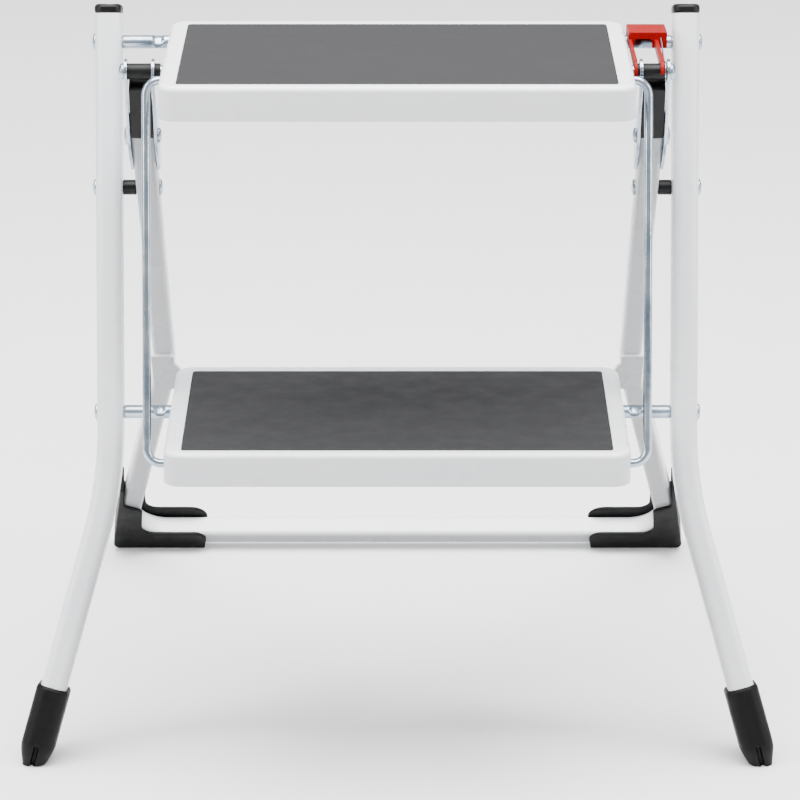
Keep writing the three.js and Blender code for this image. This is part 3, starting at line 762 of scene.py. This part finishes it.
@dataclass
class FrontFrame(TubeFrame):
    """Two bent legs with caps and rubber feet, the two rods between them and the pivot rivets."""

    body: str = "front_frame"
    leg_x: float = 189 * MM
    width: float = 17 * MM
    depth: float = 28 * MM
    corner: float = 6 * MM
    lean: float = math.radians(14.8)
    splay: float = 0.279
    bend_height: float = 180 * MM
    bend_radius: float = 250 * MM
    above_rod: float = 18 * MM
    leg_end: float = 17 * MM
    cap_height: float = 6 * MM
    foot_wall: float = 2.5 * MM
    foot_length: float = 64 * MM
    tube_x: float = 163.6 * MM
    tube_width: float = 15 * MM
    toe_below: float = 12 * MM
    toe_taper: Pair = (4 * MM, 26 * MM)
    toe_narrowing: float = 0.46
    groove_sides: Pair = (0.9 * MM, 1.9 * MM)
    groove_ends: Pair = (22 * MM, 25 * MM)
    groove_depth: float = 3.2 * MM
    rod_radius: float = 4.4 * MM
    shank_radius: float = 3 * MM
    head_radius: float = 5.4 * MM
    head_height: float = 2.2 * MM
    crimp_starts: Pair = (152.4 * MM, 154.6 * MM)
    crimp_stops: Pair = (158.4 * MM, 160.6 * MM)
    crimp_tilt: float = math.radians(35)

    @property
    def leg_top(self) -> float:
        """Distance along the leg from the floor to its top end."""
        return (self.layout.upper_rod.z + self.above_rod) / math.cos(self.lean)

    def leg_corners(self, bottom: float) -> Array:
        """The leg's corner points in its own upright plane.

        Args:
            bottom: height of the lower end along the leg.
        Returns:
            Three points: top, bend and bottom.
        """
        bend = self.bend_height / math.cos(self.lean)
        return np.array([[0, 0, self.leg_top], [0, 0, bend],
                         [(bend - bottom) * self.splay, 0, bottom]])

    def place(self, grid: Array, side: int) -> Array:
        """Moves a grid from the leg's own plane into place, mirrored for the left side."""
        foot = self.layout.upper_rod.y - self.layout.upper_rod.z * math.tan(self.lean)
        grid = grid * np.array([side, 1, 1])
        return leaned(grid, -self.lean, (side * self.leg_x, foot, 0))

    def leg(self, side: int) -> None:
        """A leg: a rounded rectangle carried down the bent path."""
        path = Path.bent(self.leg_corners(self.leg_end), [self.bend_radius], (0, 1, 0))
        section = rounded_rectangle(self.depth, self.width, self.corner, 8, 3)
        self.piece("leg_tube", Slot.PAINT, self.finishes.paint, "front_leg", side).from_grids(
            self.place(path.rings(section), side))

    def cap(self, side: int) -> None:
        """A plug over the leg's end: rounded rectangles stacked up, drawn in at both rims."""
        rise = np.array([0, 0, 0.5, 1.2, 3.6, 4.6, 5.3, 5.75, 6]) * MM
        draw = np.array([1.4, 0.5, 0.1, 0, 0, 0.25, 0.75, 1.5, 2.8]) * MM
        outline = rounded_rectangle(self.width + 0.6 * MM, self.depth + 0.6 * MM, self.corner,
                                    10, 4)
        rings = np.stack([inset(outline, d) for d in draw])
        crown = 0.5 * MM * (1 - (outline[:, 1] / (self.depth / 2)) ** 2)
        base = self.leg_top + self.gap
        height = base + rise[:, None] + np.where(rise[:, None] > 4 * MM, crown - 0.5 * MM, 0)
        grid = np.concatenate([rings, height[..., None]], -1)
        self.piece("cap", Slot.PLASTIC, self.finishes.plastic, "leg_cap", side,
                   math.radians(60)).from_grids(self.place(grid, side))

    def foot(self, side: int) -> None:
        """A rubber boot on the splayed end of the leg.

        Its outside is the leg's section grown by the wall, drawn in towards the toe along a
        quarter ellipse, with a groove down the middle of the front and back faces. Below the
        floor the surface is pressed flat. Its inside is a socket round the leg's end.
        """
        corners = self.leg_corners(-self.toe_below)
        toe, bend = corners[2], corners[1]
        up = (bend - toe) / np.linalg.norm(bend - toe)
        wall = self.foot_wall
        outline = rounded_rectangle(self.depth + 2 * wall, self.width + 2 * wall,
                                    self.corner + wall, 18, 30)
        length = self.foot_length
        s = np.concatenate([np.linspace(7, 26, 30), np.linspace(27, 61, 26), [62.2, 63.2, 64]]) * MM
        shrink = 1 - self.toe_narrowing * (1 - smoothstep(*self.toe_taper, s)) ** 1.2
        lip = 0.7 * MM * smoothstep(length - 1.8 * MM, length, s)
        outer = outline[None] * shrink[:, None, None]
        outer = outer * (1 - lip / (self.width / 2))[:, None, None]
        groove = 1 - smoothstep(*self.groove_sides, np.abs(outer[..., 1]))
        groove *= (1 - smoothstep(*self.groove_ends, s))[:, None]
        groove *= np.abs(outer[..., 0]) > self.depth / 4
        outer[..., 0] -= np.sign(outer[..., 0]) * self.groove_depth * groove
        bore = inset(outline, self.foot_wall - self.gap)
        depth_in = np.array([length, length - 1 * MM, 29 * MM])
        rings = np.concatenate([outer, np.repeat(bore[None], 3, axis=0)])
        along = np.concatenate([s, depth_in])
        sideways = np.array([up[2], 0, -up[0]])
        centre = toe + along[:, None] * up
        grid = (centre[:, None] + rings[..., :1] * np.array([0, 1, 0]) + rings[..., 1:] * sideways)
        grid = self.place(grid, side)
        grid[..., 2] = np.maximum(grid[..., 2], 0)
        self.piece("foot", Slot.RUBBER, self.finishes.rubber, "front_foot", side,
                   math.radians(50)).from_grids(grid)

    def rod(self, name: str, at: Vector) -> None:
        """A rod between the legs, turned down through each leg, headed outside and crimped.

        At a crimp the section is an ellipse: it is pinched to half the thickness and spreads
        to ears, both eased in and out along the rod.

        Args:
            name: the CAD node.
            at: a point on its axis.
        """
        inner = self.leg_x - self.width / 2 - self.gap
        outer = self.leg_x + self.width / 2 + self.gap
        run = np.linspace(0, inner - 1 * MM, 150)
        half = np.concatenate([np.column_stack([run, np.full(run.shape, self.rod_radius)]),
                               [[inner - 0.3 * MM, 4.3 * MM], [inner, 4 * MM],
                                [inner, self.shank_radius], [outer, self.shank_radius]],
                               dome_profile(outer, self.head_radius, self.head_height, 1,
                                            dimple=0.5 * MM)])
        profile = np.concatenate([half[::-1] * (-1, 1), half[1:]])
        grid = turned(profile, at, 48)
        x = np.abs(grid[..., 0])
        pinch = smoothstep(*self.crimp_starts, x) * (1 - smoothstep(*self.crimp_stops, x))
        tilt = self.crimp_tilt
        y, z = grid[..., 1] - at.y, grid[..., 2] - at.z
        wide = (y * math.cos(tilt) + z * math.sin(tilt)) * (1 + 0.17 * pinch)
        thick = (z * math.cos(tilt) - y * math.sin(tilt)) * (1 - 0.42 * pinch)
        grid[..., 1] = at.y + wide * math.cos(tilt) - thick * math.sin(tilt)
        grid[..., 2] = at.z + wide * math.sin(tilt) + thick * math.cos(tilt)
        self.piece(f"{name}_drawn", Slot.ZINC, self.finishes.zinc_across, name).from_grids(grid)

    def rivet(self, side: int) -> None:
        """The scissor pivot's rivet, headed at both ends."""
        outer = self.leg_x + self.width / 2 + self.gap
        inner = self.tube_x - self.tube_width / 2 - self.gap
        head = dome_profile(outer, self.head_radius, self.head_height, 1, dimple=0.6 * MM)
        back = dome_profile(inner, self.head_radius, 1.8 * MM, -1)
        shank = [[inner, self.shank_radius], [outer, self.shank_radius]]
        profile = np.concatenate([back[::-1], shank, head]) * (side, 1)
        self.piece("rivet", Slot.ZINC, self.finishes.zinc_across, "pivot_rivet",
                   side).from_grids(turned(profile, self.layout.pivot))

    def spacer(self, side: int) -> None:
        """The black collar between the frames: a ring with rounded rims."""
        inner = self.tube_x + self.tube_width / 2 + self.gap
        outer = self.leg_x - self.width / 2 - self.gap
        profile = np.array([[inner, 4.5], [inner + 0.5 * MM, 5], [outer - 0.5 * MM, 5],
                            [outer, 4.5], [outer, 3.3], [inner, 3.3]])
        profile[:, 1] *= MM
        self.piece("collar", Slot.PLASTIC, self.finishes.plastic, "pivot_spacer", side).from_grids(
            turned(profile * (side, 1), self.layout.pivot, 36), ends=Ends.LOOPED)

    def build(self) -> None:
        """Builds every piece of the front frame."""
        for side in (-1, 1):
            self.leg(side)
            self.cap(side)
            self.foot(side)
            self.rivet(side)
            self.spacer(side)
        self.rod("upper_rod", self.layout.upper_rod)
        self.rod("lower_rod", self.layout.lower_rod)


# ---- rear frame ----
@dataclass
class RearFrame(TubeFrame):
    """The U-shaped rear tube with its pads and boots, and the bracketed bar under the top step."""

    body: str = "rear_frame"
    lean: float = math.radians(40.7)
    x: float = 163.6 * MM
    width: float = 15 * MM
    depth: float = 16 * MM
    corner: float = 3.5 * MM
    above: float = 68 * MM
    bend_at: float = 226 * MM
    bend_radius: float = 160 * MM
    splay: float = 0.179
    drop: float = 466 * MM
    cross_corner: float = 28 * MM
    pad_from: float = 197 * MM
    pad_to: float = 241 * MM
    bar_end: float = 173.8 * MM
    sleeve_ends: Pair = (150.2 * MM, 173.5 * MM)
    bolt_up: float = 60 * MM
    bracket_wall: float = 2.4 * MM
    ear: float = 4.2 * MM

    def place(self, grid: Array) -> Array:
        """Moves a grid from the frame's own plane, with +Z up the legs, into place."""
        return leaned(grid, self.lean, tuple(self.layout.pivot))

    def tube(self) -> None:
        """The whole tube: a rounded square carried down one leg, across and up the other."""
        spread = self.x + (self.drop - self.bend_at) * self.splay
        right = np.array([[self.x, 0, self.above], [self.x, 0, -self.bend_at],
                          [spread, 0, -self.drop]])
        corners = np.concatenate([right, right[::-1] * (-1, 1, 1)])
        radii = [self.bend_radius, self.cross_corner, self.cross_corner, self.bend_radius]
        path = Path.bent(corners, radii, (0, 1, 0))
        section = rounded_rectangle(self.depth, self.width, self.corner, 7, 3)
        self.piece("rear_tube_bent", Slot.PAINT, self.finishes.paint, "rear_tube").from_grids(
            self.place(path.rings(section)))

    def pad(self, side: int) -> None:
        """A pressed pad on the front of a leg: a rounded plate with an ear on its inner edge."""
        length = self.pad_to - self.pad_from
        outline = rounded_rectangle(16 * MM, length, 1.2 * MM, 5, 24)
        middle = 1 - (outline[:, 1] / (length / 2 - 10 * MM)) ** 2
        swell = self.ear * np.clip(middle, 0, 1) ** 1.2
        outline[:, 0] -= np.where(outline[:, 0] < -6 * MM, swell, 0)
        thick = 2.6 * MM
        out = np.array([0.4, 0, 0, 0.2, 0.7, 1.5]) * MM
        rise = np.array([0, 0.4 * MM, thick - 0.8 * MM, thick - 0.3 * MM, thick - 0.06 * MM, thick])
        rings = np.stack([inset(outline, d) for d in out])
        y = -self.depth / 2 - self.gap - rise
        centre = -(self.pad_from + self.pad_to) / 2
        grid = np.stack([side * (self.x + 0.6 * MM + rings[..., 0]),
                         np.broadcast_to(y[:, None], rings.shape[:2]), rings[..., 1] + centre], -1)
        self.piece("pad", Slot.PAINT, self.finishes.paint, "leg_pad",
                   side).from_grids(self.place(grid))

    def bar(self) -> None:
        """The round bar under the top step, with a domed head at each end."""
        end = self.bar_end
        half = np.concatenate([[[0, 4 * MM], [end, 4 * MM]],
                               dome_profile(end, 5.2 * MM, 3.2 * MM, 1, dimple=0.5 * MM)])
        profile = np.concatenate([half[::-1] * (-1, 1), half[1:]])
        self.piece("bar_headed", Slot.ZINC, self.finishes.zinc_across, "support_bar").from_grids(
            turned(profile, self.layout.bar))

    def sleeve(self, side: int) -> None:
        """A black sleeve on the bar: a ring with a bead at each rim."""
        start, end = self.sleeve_ends
        profile = np.array([[start, 4.8 * MM], [start + 0.5 * MM, 5.2 * MM],
                            [end - 0.5 * MM, 5.2 * MM], [end, 4.8 * MM], [end, 4.3 * MM],
                            [start, 4.3 * MM]])
        self.piece("sleeve", Slot.PLASTIC, self.finishes.plastic, "bar_sleeve", side).from_grids(
            turned(profile * (side, 1), self.layout.bar), ends=Ends.LOOPED)

    def bolt(self, side: int) -> None:
        """The bolt through a bracket and the leg, with a wide domed head outside."""
        up = self.bolt_up
        at = self.layout.pivot + Vector((0, -up * math.sin(self.lean), up * math.cos(self.lean)))
        outer = self.x + self.width / 2 + self.bracket_wall
        inner = self.x - self.width / 2 - self.bracket_wall
        head = dome_profile(outer, 6 * MM, 2.6 * MM, 1, dimple=0.5 * MM)
        back = dome_profile(inner, 5 * MM, 2 * MM, -1)
        profile = np.concatenate([back[::-1], [[inner, 3 * MM], [outer, 3 * MM]], head]) * (side, 1)
        self.piece("bolt", Slot.ZINC, self.finishes.zinc_across, "bracket_bolt",
                   side).from_grids(turned(profile, at))

    def slab(self, outline: Array, low: float, high: float, edge: float) -> Array:
        """A plate parallel to the frame's plane, its outline drawn in over both rims.

        Args:
            outline: (x, up) points, anticlockwise.
            low: its front face, measured back from the tube's centre.
            high: its back face.
            edge: radius of the rims.
        Returns:
            A grid of points in the frame's own plane.
        """
        a = np.linspace(0, math.pi / 2, 5)
        draw = edge * (1 - np.sin(a))
        y = np.concatenate([low + edge * (1 - np.cos(a)), high - edge * (1 - np.cos(a[::-1]))])
        rings = np.stack([inset(outline, d) for d in np.concatenate([draw, draw[::-1]])])
        return np.stack([rings[..., 0], np.broadcast_to(y[:, None], rings.shape[:2]),
                         rings[..., 1]], -1)

    def boot(self, side: int) -> None:
        """A moulded corner boot: two L-shaped walls hold the tube between them.

        The front wall covers the leg's corner and the lower half of the cross tube, the back
        wall stands higher, and a band joins them outside the leg and under the tube. Each is
        a rounded polygon given thickness. What would be under the floor is pressed flat.
        """
        leg_side = [(215.3, -476, 6), (204.9, -389, 0.9), (202.6, -387, 0.9)]
        front = rounded_polygon(leg_side + [
            (204.2, -412, 5), (190.2, -419, 4), (192.6, -454, 9), (143.4, -454, 9), (146, -476, 2)])
        back = rounded_polygon(leg_side + [
            (204.2, -410, 5), (189, -416, 4), (189.5, -449, 9), (142.5, -449, 13), (145, -476, 2)])
        band = rounded_polygon(leg_side + [
            (203.6, -410, 4), (208.6, -441, 12), (198, -473.8, 10), (148, -473.8, 0.5),
            (147, -476, 0.5)])
        skin = self.depth / 2 + self.gap
        face, rear = -self.depth / 2 - 3 * MM, self.depth / 2 + 2.7 * MM
        slabs = [self.slab(front, face, -skin, 0.8 * MM),
                 self.slab(back, skin, rear, 0.8 * MM),
                 self.slab(band, face + 0.7 * MM, rear - 0.7 * MM, 0.4 * MM)]
        placed = [self.place(slab * (side, 1, 1)) for slab in slabs]
        for grid in placed:
            grid[..., 2] = np.maximum(grid[..., 2], 0)
        self.piece("boot", Slot.RUBBER, self.finishes.rubber, "rear_boot",
                   side).from_grids(*placed)

    def build(self) -> None:
        """Builds every piece of the rear frame."""
        self.tube()
        self.bar()
        for side in (-1, 1):
            name = side_name(side)
            self.pad(side)
            self.sleeve(side)
            self.bolt(side)
            self.piece("cheeks", Slot.ZINC, self.finishes.zinc_upright, "bracket", side,
                       math.radians(35)).from_node(f"bracket_{name}")
            self.piece("block", Slot.PLASTIC, self.finishes.plastic, "bar_block", side,
                       math.radians(35)).from_node(f"bar_block_{name}")
            self.boot(side)


# ---- steps ----
@dataclass
class Step:
    """One step: a painted tray with a rubber mat let into its top."""

    body: str
    tray: str
    mat: str
    finishes: Finishes
    mat_corner: float = 2.5 * MM

    def build(self) -> None:
        """Builds the tray and its mat."""
        Piece(f"{self.tray}_pressed", self.body, Slot.PAINT, (self.tray,),
              self.finishes.paint, sharp=math.radians(38)).from_node(self.tray)
        self.lay_mat()

    def lay_mat(self) -> None:
        """A rounded slab: its outline is drawn in over the top edge along a quarter circle."""
        low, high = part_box(self.mat)
        centre, size = (low + high) / 2, high - low
        outline = rounded_rectangle(size.x, size.y, self.mat_corner, 6, 12)
        edge = 0.9 * MM
        a = np.linspace(0, math.pi / 2, 6)
        draw = np.concatenate([[0], edge * (1 - np.cos(a)), [2.2 * MM]])
        rise = np.concatenate([[low.z], high.z - edge + edge * np.sin(a), [high.z]])
        rings = np.stack([inset(outline, d) for d in draw]) + (centre.x, centre.y)
        grid = np.concatenate([rings, np.broadcast_to(rise[:, None, None],
                                                      rings.shape[:2] + (1,))], -1)
        Piece(f"{self.mat}_moulded", self.body, Slot.MAT, (self.mat,), self.finishes.mat,
              sharp=math.radians(60)).from_grids(grid)


# ---- tie rods and catch ----
@dataclass
class TieRod:
    """A wire rod with both ends bent inwards through the side walls of the two steps."""

    side: int
    layout: Layout
    finishes: Finishes
    x: float = 159 * MM
    inside: float = 143.6 * MM
    radius: float = 2.75 * MM
    bend: float = 9 * MM

    def build(self) -> None:
        """Carries a circle along the bent wire, drawn in at its two ends."""
        top, low = self.layout.top_hole, self.layout.lower_hole
        x, inner = self.side * self.x, self.side * self.inside
        corners = np.array([[inner, top.y, top.z], [x, top.y, top.z], [x, low.y, low.z],
                            [inner, low.y, low.z]])
        down = np.array([0, low.y - top.y, low.z - top.z])
        across = np.cross([1, 0, 0], down / np.linalg.norm(down))
        path = Path.bent(corners, [self.bend, self.bend], tuple(across), math.radians(5), 0.006)
        run = path.lengths()
        near = np.minimum(run, run[-1] - run)
        draw = 1 - 0.25 * (1 - smoothstep(0, 0.8 * MM, near))
        section = circle(self.radius)[None] * draw[:, None, None]
        name = f"tie_rod_{side_name(self.side)}"
        Piece(f"{name}_bent", f"{side_name(self.side)}_tie_rod", Slot.ZINC, (name,),
              self.finishes.zinc_upright, sharp=math.radians(60)).from_grids(path.rings(section))


@dataclass
class Catch:
    """The red lever on the bar, and the wire spring that holds it down."""

    layout: Layout
    finishes: Finishes
    coil_x: float = 170.4 * MM
    wire: float = 0.55 * MM
    coil_radius: float = 6.2 * MM
    tail_end: Pair = (57 * MM, 8 * MM)

    def build(self) -> None:
        """Builds the lever and its spring."""
        Piece("lever_moulded", "catch", Slot.RED, ("catch_lever",), self.finishes.red,
              sharp=math.radians(35)).from_node("catch_lever")
        self.spring()

    def spring(self) -> None:
        """A turn of wire round the sleeve, then a tail along the lever.

        The coil is (coil radius) times (cos a, sin a) in side view, and the tail runs from its
        end as a straight line that lifts slightly to the lever's front wall.
        """
        a = np.linspace(math.radians(-290), math.radians(14), 60)
        coil = np.stack([self.coil_radius * np.cos(a), self.coil_radius * np.sin(a)], -1)
        t = np.linspace(0, 1, 30)[1:, None]
        tail = coil[-1] + (np.array(self.tail_end) - coil[-1]) * t
        flat = np.concatenate([coil, tail])
        x = self.coil_x + 0.35 * MM * np.linspace(-1, 1, len(flat))
        bar = self.layout.bar
        points = np.column_stack([x, bar.y + flat[:, 0], bar.z + flat[:, 1]])
        tangents = np.gradient(points, axis=0)
        tangents /= np.linalg.norm(tangents, axis=1, keepdims=True)
        path = Path(points, tangents, np.array([1.0, 0, 0]))
        Piece("spring_wire", "catch", Slot.ZINC, ("catch_spring",),
              self.finishes.zinc_upright, sharp=math.radians(60)).from_grids(
            path.rings(circle(self.wire, 12)))


# ---- studio ----
@dataclass
class Studio:
    """A pale floor, soft lights and the camera."""

    floor_colour: Colour = (0.9, 0.9, 0.905)
    camera_at: Triple = (0.0018, -2.6516, 1.084)
    pitch: float = math.radians(18.6)
    lens: float = 182.3

    def floor(self) -> None:
        """A wide floor sheet: a flat grid with a faint unevenness far below a millimetre."""
        n = 40
        across = np.linspace(-9, 9, n)
        x, y = np.meshgrid(across, across)
        z = -0.0006 + 0.0001 * np.sin(x * 1.7) * np.cos(y * 1.3)
        points = np.stack([x, y, z], -1).reshape(-1, 3)
        index = np.arange(n * n).reshape(n, n)
        quads = np.stack([index[:-1, :-1], index[:-1, 1:], index[1:, 1:], index[1:, :-1]],
                         -1).reshape(-1, 4)
        mesh = bpy.data.meshes.new("floor")
        mesh.from_pydata(points.tolist(), [], quads.tolist())
        mesh.shade_smooth()
        g = Graph("studio floor")
        tone = g.blend(g.spread(g.noise(3, 4), (0.3, 0.7), (0.0, 1.0)), self.floor_colour,
                       (0.88, 0.88, 0.888))
        g.wear(Base_Color=tone, Roughness=g.spread(g.noise(20, 3), (0.3, 0.7), (0.5, 0.62)))
        g.hold(IOR=1.35)
        mesh.materials.append(g.material)
        sheet = bpy.data.objects.new("floor", mesh)
        bpy.context.scene.collection.objects.link(sheet)
        sheet.visible_diffuse = False

    def light(self, name: str, at: Triple, size: Pair,
              power: float) -> None:
        """A rectangular soft light aimed at the stool.

        Args:
            name: its name.
            at: its place.
            size: its width and height.
            power: watts.
        """
        data = bpy.data.lights.new(name, "AREA")
        data.shape = "RECTANGLE"
        data.size, data.size_y = size
        data.energy = power
        lamp = bpy.data.objects.new(name, data)
        lamp.location = at
        aim = Vector((0, 0, 0.2)) - Vector(at)
        lamp.rotation_euler = aim.to_track_quat("-Z", "Y").to_euler()
        bpy.context.scene.collection.objects.link(lamp)

    def sky(self, level: float, above: float) -> None:
        """Pale light from all round, brighter towards the ceiling.

        Args:
            level: strength at and below the horizon.
            above: strength straight up.
        """
        world = bpy.data.worlds.new("studio")
        world.use_nodes = True
        tree = world.node_tree
        back = tree.nodes["Background"]
        back.inputs["Color"].default_value = (0.985, 0.992, 1.0, 1.0)
        towards = tree.nodes.new("ShaderNodeTexCoord")
        split = tree.nodes.new("ShaderNodeSeparateXYZ")
        rise = tree.nodes.new("ShaderNodeMapRange")
        for key, number in (("From Min", 0.05), ("From Max", 0.95), ("To Min", level),
                            ("To Max", above)):
            rise.inputs[key].default_value = number
        tree.links.new(towards.outputs["Generated"], split.inputs["Vector"])
        tree.links.new(split.outputs["Z"], rise.inputs["Value"])
        tree.links.new(rise.outputs["Result"], back.inputs["Strength"])
        bpy.context.scene.world = world

    def camera(self) -> None:
        """The camera, pitched down at the stool."""
        data = bpy.data.cameras.new("camera")
        data.lens = self.lens
        data.sensor_width = 36
        data.clip_end = 60
        camera = bpy.data.objects.new("camera", data)
        camera.location = self.camera_at
        camera.rotation_euler = (math.pi / 2 - self.pitch, 0, 0)
        bpy.context.scene.collection.objects.link(camera)
        bpy.context.scene.camera = camera

    def build(self) -> None:
        """Sets the studio up."""
        self.floor()
        self.sky(0.62, 1.5)
        self.light("overhead", (0, -0.35, 2.6), (2.6, 2.2), 245)
        self.light("left softbox", (-2.4, -1.2, 1.5), (0.7, 1.9), 62)
        self.light("right softbox", (2.5, -0.9, 1.3), (0.6, 1.9), 52)
        self.camera()


def main() -> None:
    """Builds the studio and each sub-assembly of the stool."""
    logging.basicConfig(level=logging.INFO, format="%(name)s: %(message)s")
    Studio().build()
    layout = Layout.of_frame()
    finishes = Finishes()
    FrontFrame(layout, finishes).build()
    RearFrame(layout, finishes).build()
    Step("top_step", "top_tray", "top_mat", finishes).build()
    Step("lower_step", "lower_tray", "lower_mat", finishes).build()
    for side in (-1, 1):
        TieRod(side, layout, finishes).build()
    Catch(layout, finishes).build()


if __name__ == "__main__":
    main()
